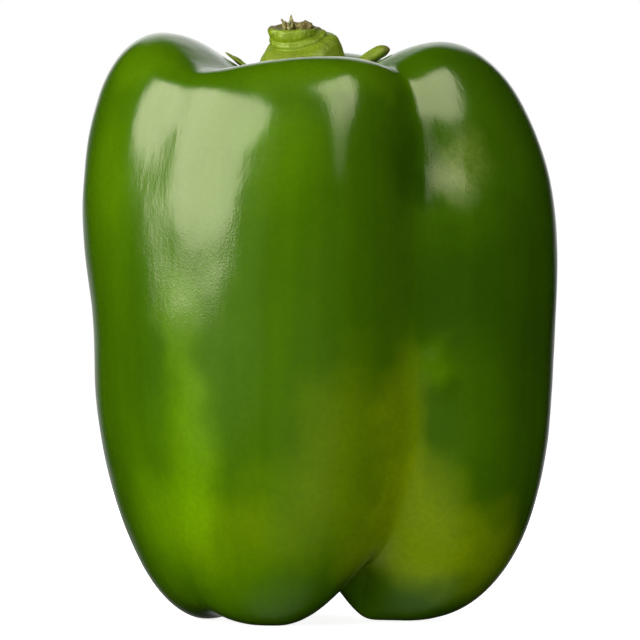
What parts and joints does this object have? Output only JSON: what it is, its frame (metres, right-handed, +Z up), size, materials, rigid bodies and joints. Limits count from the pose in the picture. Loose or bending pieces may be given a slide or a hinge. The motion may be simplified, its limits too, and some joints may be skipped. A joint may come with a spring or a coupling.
{
  "type": "bell pepper",
  "caption": "Whole green bell pepper with rounded lobes, a sunken top, a pointed calyx and a short torn stem, standing upright on its lobes.",
  "frame": {"origin": "middle of the bounding box, on the surface that the pepper stands on", "axes": "+Z up from the blossom end to the stem, +Y towards the back, so that -Y is the side with the broad lobe and the deep furrow on its right"},
  "size_m": [0.084, 0.0818, 0.1069],
  "materials": {
    "skin": "waxy, glossy green skin with darker and yellower patches",
    "calyx": "leathery light green, browned at the tips",
    "stem": "satin yellow-green flesh with folds, and a brown, fibrous torn end"
  },
  "bodies": {
    "root": {"fruit": "skin", "calyx": "calyx", "stem": "stem"}
  },
  "joints": []
}
